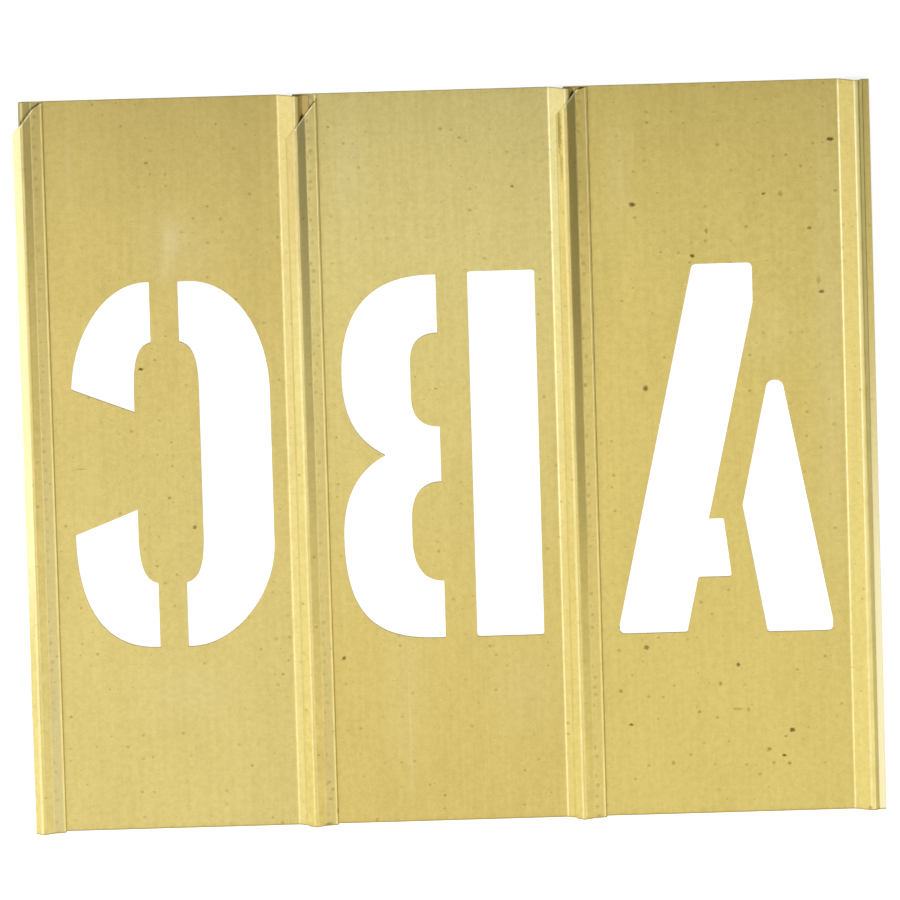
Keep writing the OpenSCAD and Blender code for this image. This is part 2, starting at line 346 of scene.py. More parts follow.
def letter_a():
    """The long leg with the bar, and the short leg. Nothing stays inside them."""
    w = 21.0
    big_r, small_r = 1.0, 0.45
    foot_side = 2.0
    foot_left = w - 13.3
    head_top = LETTER_H + 0.55
    head_right = 5.0
    head_left = head_right - 11.8
    inner_top = LETTER_H - 7.8
    lean = (foot_left - head_left) / inner_top
    bar_low, bar_high = 11.4, 23.6
    bar_w, bar_slant = 6.6, 1.3
    bar_left = foot_left - lean * bar_low - bar_w
    bar_corner = foot_left - lean * bar_high + 0.2
    long_leg = rounded([
        (w, 0, big_r),
        (w, foot_side, big_r),
        (head_right, head_top, big_r),
        (head_left, head_top, big_r),
        (head_left, inner_top, big_r),
        (bar_corner, bar_high, 0),
        (bar_left + bar_slant, bar_high, small_r),
        (bar_left, bar_low, small_r),
        (foot_left - lean * bar_low, bar_low, small_r),
        (foot_left, 0, small_r),
    ])

    bridge_w = 5.9
    knee_y, apex_y = 26.2, 52.2
    knee = foot_left - lean * knee_y - bridge_w
    apex = foot_left - lean * apex_y - bridge_w
    apex_w, apex_r = 2.9, 1.65
    foot_w = 12.9
    foot_low, foot_high = -0.5, -0.4
    short_leg = rounded([
        (-w, foot_low, big_r),
        (-w + foot_w, foot_high, small_r),
        (knee, knee_y, big_r),
        (apex, apex_y, apex_r),
        (apex - apex_w, apex_y, apex_r),
        (-w, foot_side, big_r),
    ])
    return [long_leg, short_leg], []


# Mesh of a plate
def divided(loop):
    """The loop with its long straight sides divided."""
    out = []
    for p, q in zip(loop, loop[1:] + loop[:1]):
        n = max(1, round(math.dist(p, q) / OUTLINE_STEP))
        out += [(p[0] + (q[0] - p[0]) * i / n, p[1] + (q[1] - p[1]) * i / n) for i in range(n)]
    return out


def without_doubles(loop):
    return [p for p, q in zip(loop, loop[-1:] + loop[:-1]) if math.dist(p, q) > SAME_POINT]


class Blank:
    """Vertices (s, y) and faces of a flat plate. A corner that is used again isn't doubled."""

    def __init__(self):
        self.verts = []
        self.index = {}
        self.faces = []

    def vert(self, s, y):
        offset = 0.123
        key = (math.floor(s / WELD + offset), math.floor(y / WELD + offset))
        if key not in self.index:
            self.index[key] = len(self.verts)
            self.verts.append((s, y))
        return self.index[key]


def row_heights(top):
    """The rows of the mesh, from the bottom of the plate to the given top."""
    rows = [-END + LENGTH * j / ROWS for j in range(ROWS + 1)]
    return [y if top == END else -END + (y + END) * (top + END) / LENGTH for y in rows]


def clipped_top(section, i, clip):
    """Height at which the column of the section's point i ends."""
    if i >= section.half_fold:
        return END
    rise = math.tan(math.radians(CLIP_ANGLE))
    run = clip / rise
    return min(END, END - (run - (section.points[i][0] + FLAP_W + HALF)) * rise)


def add_folds(blank, section, clip, low_s, high_s):
    """Everything but the field, as quads in columns along the bends."""
    columns = []
    step_s = 0.02
    for i, s in enumerate(section.s):
        top = clipped_top(section, i, clip)
        columns.append((s, row_heights(top)))
        # The cut of the clipped corner ends in the pocket fold, at its half way point
        if i == section.half_fold - 1 and top < END:
            columns.append((s + step_s, row_heights(END)))
    for (s, left), (t, right) in zip(columns, columns[1:]):
        if (s, t) == (low_s, high_s):
            continue
        # Between two bends, the long straight stretches get columns of their own
        n = max(1, round((t - s) / COLUMN)) if t - s > GRID else 1
        steps = []
        for i in range(n + 1):
            steps.append((s + (t - s) * i / n, [a + (b - a) * i / n for a, b in zip(left, right)]))
        for (s0, y0), (s1, y1) in zip(steps, steps[1:]):
            for j in range(ROWS):
                corners = ((s0, y0[j]), (s1, y1[j]), (s1, y1[j + 1]), (s0, y0[j + 1]))
                blank.faces.append([blank.vert(*corner) for corner in corners])


def field_points(loops, low_s, high_s):
    """A grid over the field, with room for the outlines of the letter."""
    cell = 2
    cells = {}
    for loop in loops:
        for p in loop:
            cells.setdefault((int(p[0] // cell), int(p[1] // cell)), []).append(p)

    def clear(p):
        cx, cy = int(p[0] // cell), int(p[1] // cell)
        near = [q for a in (-1, 0, 1) for b in (-1, 0, 1) for q in cells.get((cx + a, cy + b), [])]
        return all(math.dist(p, q) > OUTLINE_CLEAR for q in near)

    n = round((high_s - low_s) / GRID)
    across = [low_s + (high_s - low_s) * i / n for i in range(n)] + [high_s]
    points = []
    for i, s in enumerate(across):
        for j, y in enumerate(row_heights(END)):
            if i in (0, n) or j in (0, ROWS) or clear((s, y)):
                points.append((s, y))
    return points


def add_field(blank, cut, keep, low_s, high_s):
    """The field, as triangles that follow the outlines of the letter."""
    points = field_points(cut + keep, low_s, high_s)
    edges = []
    for loop in cut + keep:
        start = len(points)
        points += loop
        edges += [(start + i, start + (i + 1) % len(loop)) for i in range(len(loop))]
    out = delaunay_2d_cdt([Vector(p) for p in points], edges, [], 0, MERGE)
    # A vertex that came in keeps its exact place, so that it meets its neighbours at the border
    spots = [Vector(points[came[0]]) if came else spot for spot, came in zip(out[0], out[3])]
    for face in out[2]:
        tri = [spots[i] for i in face]
        c = (sum(p.x for p in tri) / 3, sum(p.y for p in tri) / 3)
        if any(within(c, loop) for loop in cut) and not any(within(c, loop) for loop in keep):
            continue
        ids = [blank.vert(p.x, p.y) for p in tri]
        if len(set(ids)) == 3:
            a = (tri[1] - tri[0]).cross(tri[2] - tri[0])
            blank.faces.append(ids if a > 0 else ids[::-1])


def developed(section, field, clip, cut, keep):
    """The flat plate with its letter and its clipped corner, and where its field starts."""
    low_s = section.s[section.points.index((FIELD_MARGIN, HALF))]
    high_s = section.s[section.points.index((field - BEND_MARGIN, HALF))]
    shift = low_s - FIELD_MARGIN

    def placed(loop):
        """The back of the plate shows, so the letter is mirrored."""
        loop = [(field / 2 - x + shift, y - LETTER_H / 2) for x, y in loop]
        return divided(without_doubles(loop))

    blank = Blank()
    add_folds(blank, section, clip, low_s, high_s)
    add_field(blank, [placed(loop) for loop in cut], [placed(loop) for loop in keep], low_s, high_s)
    return blank, shift


def wave(x, y, field, seed):
    """Gentle lift of the rolled sheet above the table, none at the seams."""
    lift, margin, run = 0.045, 3, 7
    fade = max(0.0, min(1.0, (x - margin) / run)) * max(0.0, min(1.0, (field - margin - x) / run))
    fade = fade * fade * (3 - 2 * fade)
    a = math.sin(x / 11.0 + seed) * math.cos(y / 19.0 + 1.7 * seed)
    b = math.sin(x / 23.0 - y / 31.0 + 2.3 * seed)
    return lift * fade * (1 + 0.55 * a + 0.45 * b)


def border_of(blank):
    """Boundary edges, and the place of each boundary vertex once it is drawn in by the edge."""
    owned = set()
    for face in blank.faces:
        owned.update(zip(face, face[1:] + face[:1]))
    border = [(a, b) for face in blank.faces for a, b in zip(face, face[1:] + face[:1])
              if (b, a) not in owned]
    inward = {}
    for a, b in border:
        dx = blank.verts[b][0] - blank.verts[a][0]
        dy = blank.verts[b][1] - blank.verts[a][1]
        n = math.hypot(dx, dy)
        for v in (a, b):
            old = inward.get(v, (0, 0))
            inward[v] = (old[0] - dy / n, old[1] + dx / n)
    inset = {}
    for v, (nx, ny) in inward.items():
        n = math.hypot(nx, ny) or 1
        inset[v] = (blank.verts[v][0] + EDGE * nx / n, blank.verts[v][1] + EDGE * ny / n)
    return border, inset


def thick_mesh(blank, border, inset, place):
    """Points and faces of the plate with its two sides, its walls and their broken edges."""
    points, polys = [], []

    def add(s, y, d):
        points.append(place(s, y, d))
        return len(points) - 1

    top = [add(*inset.get(i, v), HALF) for i, v in enumerate(blank.verts)]
    bottom = [add(*inset.get(i, v), -HALF) for i, v in enumerate(blank.verts)]
    wall_top = {i: add(*blank.verts[i], HALF - EDGE) for i in inset}
    wall_low = {i: add(*blank.verts[i], -HALF + EDGE) for i in inset}
    for face in blank.faces:
        polys.append([top[i] for i in face])
        polys.append([bottom[i] for i in reversed(face)])
    for a, b in border:
        polys.append([top[b], top[a], wall_top[a], wall_top[b]])
        polys.append([wall_top[b], wall_top[a], wall_low[a], wall_low[b]])
        polys.append([wall_low[b], wall_low[a], bottom[a], bottom[b]])
    return points, polys


def make_plate(name, cut, keep):
    x0, field, clip = PLATES[name]
    section = Section(field)
    blank, shift = developed(section, field, clip, cut, keep)
    border, inset = border_of(blank)
    seed = list(PLATES).index(name) * 1.9 + 0.4
    fold_s = section.s[section.half_fold]
    flap_run = 4
    slow, quick, droop = 0.03, 0.02, 0.02

    def place(s, y, d):
        """The point at s and y on the bent sheet, d above its middle, in metres."""
        x, z, normal = section.at(s)
        if s < fold_s:
            # The flap's free edge wavers a little
            share = min(1.0, (fold_s - s) / flap_run)
            wobble = slow * math.sin(y / 6.1 + seed) + quick * math.sin(y / 2.3 + 2 * seed)
            x += share * (wobble + slow + quick)
            z -= droop * share * (1 + math.sin(y / 9.7 + 3 * seed))
        z += wave(s - shift, y, field, seed)
        return ((x + normal[0] * d + x0 - MIDDLE_X) * MM, y * MM, (z + normal[1] * d) * MM)

    points, polys = thick_mesh(blank, border, inset, place)
    mesh = bpy.data.meshes.new(name + "_sheet")
    mesh.from_pydata(points, [], polys)
    mesh.validate()
    for p in mesh.polygons:
        p.use_smooth = True
    mesh.set_sharp_from_angle(angle=math.radians(SMOOTH_ANGLE))
    piece = bpy.data.objects.new(name + "_sheet", mesh)
    bpy.context.collection.objects.link(piece)
    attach(piece, name)
    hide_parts(name)
    return piece


# Camera, fitted to the corners of the plates in the photograph
CAM_TURN = math.radians(0.1)
CAM_TILT = math.radians(19.67)
CAM_ROLL = math.radians(-1.68)
CAM_TARGET = Vector((-0.0000742, 0.00129, 0))
CAM_DISTANCE = 6.0
SENSOR = 36
PIXELS_PER_METRE = 5087.5
PHOTO = 900


def make_camera():
    level = math.cos(CAM_TILT)
    back = Vector((math.sin(CAM_TURN) * level, math.sin(CAM_TILT), math.cos(CAM_TURN) * level))
    right = Vector((0, 1, 0)).cross(back).normalized()
    up = back.cross(right)
    turned_right = right * math.cos(CAM_ROLL) + up * math.sin(CAM_ROLL)
    turned_up = up * math.cos(CAM_ROLL) - right * math.sin(CAM_ROLL)
    axes = Matrix((turned_right, turned_up, back)).transposed().to_4x4()
    lens = bpy.data.cameras.new("camera")
    lens.sensor_width = SENSOR
    lens.lens = SENSOR * PIXELS_PER_METRE * CAM_DISTANCE / PHOTO
    lens.clip_start = 0.1
    lens.clip_end = 50
    camera = bpy.data.objects.new("camera", lens)
    bpy.context.collection.objects.link(camera)
    camera.matrix_world = Matrix.Translation(CAM_TARGET + back * CAM_DISTANCE) @ axes
    return camera


# Materials
class Nodes:
    """Short calls for making shader nodes."""

    def __init__(self, tree):
        self.tree = tree
        tree.nodes.clear()

    def new(self, kind, **values):
        node = self.tree.nodes.new(kind)
        for key, value in values.items():
            setattr(node, key, value)
        return node

    def put(self, value, socket):
        if isinstance(value, bpy.types.NodeSocket):
            self.tree.links.new(value, socket)
        else:
            socket.default_value = value

    def math(self, operation, *values, clamp=False):
        node = self.new("ShaderNodeMath", operation=operation, use_clamp=clamp)
        for value, socket in zip(values, node.inputs):
            self.put(value, socket)
        return node.outputs[0]

    def times(self, first, *others):
        for other in others:
            first = self.math("MULTIPLY", first, other)
        return first

    def most(self, first, *others):
        for other in others:
            first = self.math("MAXIMUM", first, other)
        return first

    def apart(self, value, centre):
        return self.math("ABSOLUTE", self.math("SUBTRACT", value, centre))

    def vector(self, operation, *values):
        node = self.new("ShaderNodeVectorMath", operation=operation)
        for value, socket in zip(values, node.inputs):
            self.put(value, socket)
        return node.outputs["Value" if operation in ("LENGTH", "DOT_PRODUCT") else 0]

    def mix(self, share, a, b, blend="MIX"):
        node = self.new("ShaderNodeMix", data_type="RGBA", blend_type=blend)
        self.put(share, node.inputs[0])
        self.put(a, node.inputs[6])
        self.put(b, node.inputs[7])
        return node.outputs[2]

    def noise(self, at, scale, detail, rough):
        node = self.new("ShaderNodeTexNoise")
        self.put(at, node.inputs["Vector"])
        node.inputs["Scale"].default_value = scale
        node.inputs["Detail"].default_value = detail
        node.inputs["Roughness"].default_value = rough
        return node.outputs["Fac"]

    def span(self, value, low, high, to_low=0.0, to_high=1.0):
        node = self.new("ShaderNodeMapRange", interpolation_type="SMOOTHSTEP")
        for v, socket in zip((value, low, high, to_low, to_high), node.inputs):
            self.put(v, socket)
        return node.outputs[0]


# Colour of each plate at its top and at its bottom
BRASS = {
    "plate_c": ((0.69, 0.545, 0.188, 1), (0.74, 0.605, 0.222, 1)),
    "plate_b": ((0.768, 0.645, 0.257, 1), (0.72, 0.565, 0.182, 1)),
    "plate_a": ((0.735, 0.59, 0.192, 1), (0.745, 0.60, 0.192, 1)),
}
DULL = (0.80, 0.785, 0.70, 1)
# Pale yellow for the painted highlights on the flaps, strips, hooks, bends and the clipped cut
HIGHLIGHT = (1.0, 0.92, 0.56, 1)
# Gold for the painted highlight lines and for the painted highlight on the hem's cut end
GOLD_HIGHLIGHT = (1.0, 0.85, 0.34, 1)
# Pale tan for pale patches and for a painted glint
PATCH_PALE = (0.84, 0.76, 0.50, 1)
# Tan for the painted shade on a covered lip
TAN = (0.66, 0.47, 0.16, 1)
# Brown for painted shade before the hook's bend and at the top of plate B's flap, and for plate A's darker
# flap
BROWN = (0.45, 0.28, 0.08, 1)
# Dark brown for dirt in the press marks, for dirt and painted shade in the corners and along the next flap,
# for painted shade on the crest's far side, and for darker lines and ends
DIRT_AND_SHADE = (0.42, 0.30, 0.075, 1)
# Olive for painted shade in the pocket, on the ridge's right side and at the top of the free lip
SHADE_TINT = (0.36, 0.30, 0.12, 1)
SPECK = (0.17, 0.115, 0.02, 1)

# Painted highlight lines on the bends, in millimetres: distance from the fold at the top and at the bottom
# of the plate, half width, strength at the top and at the bottom
RIDGE_LINE = {
    "plate_c": (-4.25, -4.8, 0.2, 0.3, 0.35),
    "plate_b": (-4.7, -4.6, 0.26, 0.35, 0.2),
    "plate_a": (-4.85, -4.7, 0.24, 0.35, 0.45),
}
RIDGE_SHOULDER = (-4.15, -4.15, 0.26, 0.5, 0.3)
STRIP_LINE = {
    "plate_c": (-2.42, -2.42, 0.13, 0.5, 0.1),
    "plate_b": (-2.42, -2.42, 0.14, 0.8, 0.05),
    "plate_a": (-2.42, -2.42, 0.14, 0.9, 0.1),
}
FOLD_LINE = (-0.34, -0.34, 0.24, 0.85, 0.7)
# The same on the hook, from its bend
BEND_LINE = {
    "plate_c": (0.05, 0.0, 0.18, 0.5, 0.2),
    "plate_b": (0.05, 0.0, 0.18, 0.75, 0.4),
    "plate_a": (0.05, 0.0, 0.18, 0.75, 0.4),
}
CREST_LINE = {
    "plate_c": (3.3, 3.3, 0.18, 0.5, 0.4),
    "plate_b": (3.3, 3.3, 0.22, 0.9, 0.4),
    "plate_a": (3.3, 3.3, 0.22, 0.9, 0.4),
}
# Darker lines of the same form: a darker line below the ridge, painted shade before the hook's bend,
# and dirt with a painted shadow along the next flap
RIDGE_DARK_LINE = (-3.8, -3.8, 0.15, 0.35, 0.1)
BEND_SHADE = (-0.5, -0.5, 0.3, 0.1, 0.03)
FLAP_DIRT_AND_SHADOW = (SEAM - FLAP_W - 0.2, SEAM - FLAP_W - 0.25, 0.18, 0.5, 0.35)
# How strong the painted highlight on each flap, strip and hook is at the top and at the bottom
FLAP_PALE = {"plate_c": (0.5, 0.0), "plate_b": (0.0, 0.0), "plate_a": (0.0, 0.0)}
STRIP_PALE = {"plate_c": (0.05, 0.2), "plate_b": (0.0, 0.1), "plate_a": (0.0, 0.03)}
HOOK_PALE = {"plate_c": (0.1, 0.0), "plate_b": (0.1, 0.0), "plate_a": (0.03, 0.03)}
# Middle and half width of the strip, from the fold, and of the rising side, from the hook's bend
STRIP_MIDDLE, STRIP_HALF = -1.45, 0.95
HOOK_MIDDLE, HOOK_HALF = 1.75, 1.6
# Where the far side of the crest and where the lip start, from the hook's bend. The free lip of
# plate A, which nothing covers, is coloured from a little further out.
CREST_SIDE = 3.7
LIP_SIDE = 4.5
FREE_LIP_END = 5.0
# The ridge's near side, from the fold
FLAP_SIDE = -4.5
# Heights over the table between which the pocket's floor ends, and above which the flap lies
FLOOR_LOW, FLOOR_HIGH = 0.8, 1.05
# Distance from the middle at which the plates have their top and bottom colours
COLOUR_END = 70

# Specks and a few faint dark patches: x and y from the middle of the row, half width, half height,
# strength
SPECKS = {
    "plate_c": [
        (-60.3, 20.1, 0.5, 0.3, 0.95), (-50.7, -13.2, 0.45, 0.4, 0.7), (-55.5, -6.9, 0.4, 0.3, 0.5),
        (-58.0, 62.9, 0.4, 0.3, 0.5), (-58.3, -21.1, 0.35, 0.25, 0.4), (-76.3, -52.2, 0.3, 0.3, 0.45),
        (-34.3, -44.5, 0.3, 0.3, 0.4), (-54.5, -23.0, 0.3, 0.3, 0.35), (-37.1, -74.5, 0.3, 0.3, 0.35),
        (-32.6, 46.7, 0.35, 0.35, 0.35), (-55.2, 26.8, 0.35, 0.2, 0.35), (-72.7, -0.4, 0.9, 0.14, 0.4),
        (-71.0, 0.0, 6.0, 13.0, 0.035),
    ],
    "plate_b": [
        (-22.1, -41.5, 0.4, 0.4, 0.8), (13.6, 55.9, 0.4, 0.3, 0.6), (-22.1, 69.3, 0.25, 0.2, 0.5),
        (-2.5, 14.3, 0.35, 0.2, 0.45), (3.5, 66.3, 0.3, 0.3, 0.4), (-14.0, 0.9, 0.25, 0.2, 0.4),
        (6.7, -39.8, 0.3, 0.35, 0.35), (-26.1, -75.8, 0.7, 0.35, 0.75), (-25.1, -68.6, 0.35, 0.4, 0.4),
        (-25.6, -70.6, 0.5, 0.3, 0.4), (-24.3, -73.3, 0.25, 0.5, 0.55), (-25.7, -67.0, 0.3, 0.3, 0.35),
        (-16.6, -75.6, 0.3, 0.4, 0.35),
    ],
    "plate_a": [
        (76.1, 63.8, 0.7, 0.4, 0.95), (65.8, -59.2, 0.55, 0.5, 0.9), (48.5, 40.4, 0.45, 0.4, 0.9),
        (64.1, -64.5, 0.45, 0.3, 0.9), (37.0, 51.4, 0.65, 0.45, 0.9), (73.7, 32.2, 0.55, 0.4, 0.85),
        (34.1, -57.2, 0.45, 0.3, 0.85), (38.7, 13.1, 0.5, 0.6, 0.8), (55.5, -45.2, 0.4, 0.4, 0.8),
        (62.8, 52.9, 0.4, 0.3, 0.7), (37.5, -41.1, 0.55, 0.5, 0.7), (71.6, 45.5, 0.4, 0.3, 0.7),
        (65.1, -66.2, 0.4, 0.3, 0.55), (61.2, -63.1, 0.4, 0.4, 0.55), (51.4, 45.5, 0.3, 0.6, 0.5),
        (32.2, -50.1, 0.4, 0.4, 0.5), (47.6, -54.9, 0.35, 0.3, 0.5), (64.5, -60.5, 0.3, 0.3, 0.5),
        (51.9, -49.1, 0.35, 0.45, 0.45), (73.2, 34.6, 0.5, 0.8, 0.35), (42.2, -65.5, 0.4, 0.45, 0.4),
        (66.1, 52.8, 0.45, 0.6, 0.35), (55.2, -54.5, 1.1, 0.3, 0.35), (57.3, -54.7, 0.35, 0.45, 0.35),
        (76.8, 53.1, 0.4, 0.3, 0.4), (23.1, 67.6, 0.42, 4.6, 0.6), (23.4, 60.5, 0.3, 3.0, 0.35),
        (80.9, -75.7, 0.45, 0.4, 0.6), (27.5, 62.0, 1.3, 24.0, 0.1),
    ],
}

# Pale patches in the same form. The one on plate B at (-25.4, 74.8) is a painted glint in the pocket at the
# top of the seam.
PALE_PATCHES = {
    "plate_c": [
        (-53.7, 46.8, 2.0, 5.5, 0.22), (-55.0, 41.0, 1.2, 3.0, 0.14), (-73.2, 62.0, 0.8, 14.0, 0.08),
        (-52.5, 46.0, 9.0, 10.0, 0.1), (-52.0, -48.0, 12.0, 8.0, 0.1),
    ],
    "plate_b": [
        (-9.5, -55.0, 0.35, 22.0, 0.15), (-10.5, -50.0, 5.0, 24.0, 0.07), (13.0, -50.0, 8.0, 10.0, 0.08),
        (-25.4, 74.8, 0.35, 0.7, 0.9), (-18.2, 60.0, 4.0, 16.0, 0.12),
    ],
    "plate_a": [
        (37.5, 64.5, 0.4, 2.2, 0.16), (34.5, 58.0, 3.0, 14.0, 0.1), (64.0, 25.0, 7.0, 9.0, 0.08),
        (75.0, 20.0, 4.0, 60.0, 0.12),
    ],
}


class Brass(Nodes):
    """Material of a plate, painted in layers. Places are millimetres from the middle of the row."""

    def __init__(self, plate):
        self.plate = plate
        self.material = bpy.data.materials.new(plate.replace("plate", "brass"))
        self.material.use_nodes = True
        super().__init__(self.material.node_tree)
        self.at = self.vector("SCALE", self.new("ShaderNodeTexCoord").outputs["Object"])
        self.at.node.inputs["Scale"].default_value = 1 / MM
        split = self.new("ShaderNodeSeparateXYZ")
        self.put(self.at, split.inputs[0])
        self.x, self.y, self.z = split.outputs
        self.fold = PLATES[plate][0] - MIDDLE_X
        self.hook = self.fold + PLATES[plate][1]
        self.height_share = self.span(self.y, -COLOUR_END, COLOUR_END)

        # Patterns that several layers share
        self.mottle = self.noise(self.at, 0.85, 3, 0.62)
        self.grain = self.stretched_noise((2.4, 3.6, 3.0), 2, 0.6)
        self.ragged = self.span(self.noise(self.at, 3.1, 2, 0.5), 0.3, 0.7, 0.8, 1.3)
        self.patchy = self.span(self.stretched_noise((0.9, 0.22, 0.5), 3, 0.6), 0.42, 0.75)
        # Patchiness of the painted highlight lines, of the darker line below the ridge and of the dirt and
        # painted shadow along the next flap
        self.line_breakup = self.span(self.stretched_noise((0.5, 0.16, 0.3), 3, 0.6), 0.25, 0.6, 0.6, 1.0)

        self.rolled_sheet()
        self.specks()
        self.pale_patches_and_glint()
        self.corner_dirt_and_shade()
        self.press_marks()
        self.pocket_floor()
        self.highlight_lines()
        self.lip()
        self.painted_light()
        self.late_shade_and_dirt()
        self.surface()

    def stretched_noise(self, per_axis, detail, rough):
        return self.noise(self.vector("MULTIPLY", self.at, per_axis), 1.0, detail, rough)

    def paint(self, share, colour):
        self.colour = self.mix(share, self.colour, colour)

    def near(self, value, centre, half):
        """1 within half of the centre, otherwise 0."""
        return self.math("COMPARE", value, centre, half)

    def line(self, start, top, bottom, half, strong, weak):
        """A soft line along the plate, in the form of the tables above."""
        centre = self.math("MULTIPLY_ADD", self.height_share, top - bottom, start + bottom)
        strength = self.math("MULTIPLY_ADD", self.height_share, strong - weak, weak)
        return self.times(self.span(self.apart(self.x, centre), 0.4 * half, 1.3 * half, 1.0, 0.0), strength)

    def distance(self, x, y, half_w, half_h):
        """Distance from a place with a ragged outline, 1 at its edge."""
        scale = (1 / half_w, 1 / half_h, 0)
        offset = self.vector("MULTIPLY_ADD", self.at, scale, (-x / half_w, -y / half_h, 0))
        return self.times(self.vector("LENGTH", offset), self.ragged)

    def rolled_sheet(self):
        """Mottled sheet with faint clouds and streaks."""
        cloud = self.stretched_noise((0.075, 0.05, 0.06), 4, 0.55)
        streak = self.stretched_noise((0.9, 0.03, 0.2), 3, 0.6)
        layers = ((cloud, 0.36, 0.7, 0.13), (self.mottle, 0.3, 0.72, 0.34),
                  (self.grain, 0.3, 0.75, 0.36), (streak, 0.3, 0.7, 0.2))
        dull = 0.0
        for layer, low, high, share in layers:
            dull = self.math("MULTIPLY_ADD", self.span(layer, low, high), share, dull, clamp=True)
        top, bottom = BRASS[self.plate]
        clean = self.mix(self.height_share, bottom, top)
        self.colour = self.mix(dull, clean, DULL, "MULTIPLY")

    def specks(self):
        """Small pits all over, and the single specks of the table."""
        pits = self.new("ShaderNodeTexVoronoi", voronoi_dimensions="2D")
        self.put(self.vector("MULTIPLY", self.at, (0.37, 0.41, 0.3)), pits.inputs["Vector"])
        pits.inputs["Scale"].default_value = 1.0
        cell = self.new("ShaderNodeSeparateColor")
        self.put(pits.outputs["Color"], cell.inputs[0])
        size = self.span(cell.outputs[0], 0.3, 1.0, 0.06, 0.15)
        pit = self.span(self.math("DIVIDE", pits.outputs["Distance"], size), 0.3, 1.3, 1.0, 0.0)
        self.mark = self.times(pit, self.span(cell.outputs[1], 0.5, 1.0, 0.0, 0.38))
        for *place, strength in SPECKS[self.plate]:
            self.mark = self.most(self.mark, self.span(self.distance(*place), 0.6, 1.35, strength, 0.0))
        self.paint(self.mark, SPECK)

    def pale_patches_and_glint(self):
        # Pale patches, and a painted glint in plate B's pocket
        for *place, strength in PALE_PATCHES[self.plate]:
            self.paint(self.span(self.distance(*place), 0.1, 1.3, strength, 0.0), PATCH_PALE)

    def corner_dirt_and_shade(self):
        """Dirt and painted shade in the corner beside the pocket fold and in the bend, and darker bands at
        the ends.
        """
        corner = self.span(self.apart(self.x, self.fold + 0.15), 0.15, 0.7, 0.16, 0.0)
        bend = self.span(self.apart(self.x, self.hook - 0.7), 0.1, 0.7, 0.12, 0.0)
        ends = self.span(self.math("ABSOLUTE", self.y), END - 1.6, END, 0.0, 0.3)
        self.paint(self.times(self.most(corner, bend, ends), self.patchy), DIRT_AND_SHADE)

    def press_marks(self):
        """Small press marks along the strip of the pocket, one in each cell of a row."""
        pitch = 2.1
        middle = self.fold + STRIP_MIDDLE
        marks = self.new("ShaderNodeTexVoronoi", voronoi_dimensions="2D")
        marks.inputs["Scale"].default_value = 1.0
        marks.inputs["Randomness"].default_value = 0.45
        spot = self.new("ShaderNodeCombineXYZ")
        self.put(self.math("MULTIPLY_ADD", self.x, 1 / pitch, 0.5 - middle / pitch), spot.inputs[0])
        self.put(self.math("MULTIPLY_ADD", self.y, 1 / pitch, 0.3), spot.inputs[1])
        self.put(spot.outputs[0], marks.inputs["Vector"])
        dent = self.span(marks.outputs["Distance"], 0.1, 0.26, 1.0, 0.0)
        top_layer = self.span(self.z, 0.9, 1.1)
        self.dent = self.times(dent, self.near(self.x, middle, 0.8), top_layer)
        patches = self.span(self.noise(self.at, 0.35, 2, 0.5), 0.35, 0.65, 0.12, 0.5)
        self.paint(self.times(self.dent, patches), DIRT_AND_SHADE)

    def pocket_floor(self):
        """Painted shade on the hem inside the pocket, under the flap, and a painted highlight on its cut
        end.
        """
        below = self.times(self.math("LESS_THAN", self.x, self.fold - 0.2),
                           self.span(self.z, FLOOR_LOW, FLOOR_HIGH, 1.0, 0.0))
        cut_depth = 0.05
        top_end = self.math("GREATER_THAN", self.y, END - cut_depth)
        strength = 0.45 if self.plate == "plate_b" else 0.75
        pocket_shade = self.math("SUBTRACT", strength, top_end, clamp=True)
        self.paint(self.times(below, pocket_shade), SHADE_TINT)
        self.paint(self.times(below, top_end), GOLD_HIGHLIGHT)

    def highlight_lines(self):
        """Painted highlight lines on the ridge's shoulder, the strip and the fold, and on the free hook's
        far side.
        """
        golden = self.most(self.line(self.fold, *RIDGE_SHOULDER),
                           self.line(self.fold, *STRIP_LINE[self.plate]),
                           self.line(self.fold, *FOLD_LINE))
        if self.plate == "plate_a":
            far_side, half = 4.05, 0.7
            golden = self.most(golden, self.times(self.near(self.x, self.hook + far_side, half), 0.6))
        self.paint(self.times(golden, self.line_breakup), GOLD_HIGHLIGHT)

    def lip(self):
        """Painted shade at the top of the free lip, and painted shade on the crest's far side and on the
        tan lip where the next plate covers it.
        """
        if self.plate == "plate_a":
            end = self.hook + FREE_LIP_END
            beyond = self.span(self.x, end - 0.4, end, 0.0, 0.22)
            self.paint(self.times(beyond, self.span(self.y, 25, 60)), SHADE_TINT)
        else:
            side = self.hook + CREST_SIDE
            start = self.hook + LIP_SIDE
            self.paint(self.span(self.x, side, side + 0.3, 0.0, 0.65), DIRT_AND_SHADE)
            self.paint(self.span(self.x, start, start + 0.2, 0.0, 0.95), TAN)

    def painted_light(self):
        """Painted highlights on the flaps, strips, hooks and bends and on the cut of the clipped corner,
        and painted shade on the ridge's right side.
        """
        self.flap = self.times(self.math("LESS_THAN", self.x, self.fold + FLAP_SIDE),
                               self.math("GREATER_THAN", self.z, FLOOR_HIGH))
        strong, weak = FLAP_PALE[self.plate]
        pale = self.times(self.flap, self.span(self.y, -42, -14, weak, strong))
        bands = ((self.fold + STRIP_MIDDLE, STRIP_HALF, STRIP_PALE[self.plate]),
                 (self.hook + HOOK_MIDDLE, HOOK_HALF, HOOK_PALE[self.plate]))
        for centre, half, (strong, weak) in bands:
            along = self.span(self.y, -COLOUR_END, 60, weak, strong)
            pale = self.most(pale, self.times(self.near(self.x, centre, half), along))
        if self.plate == "plate_a":
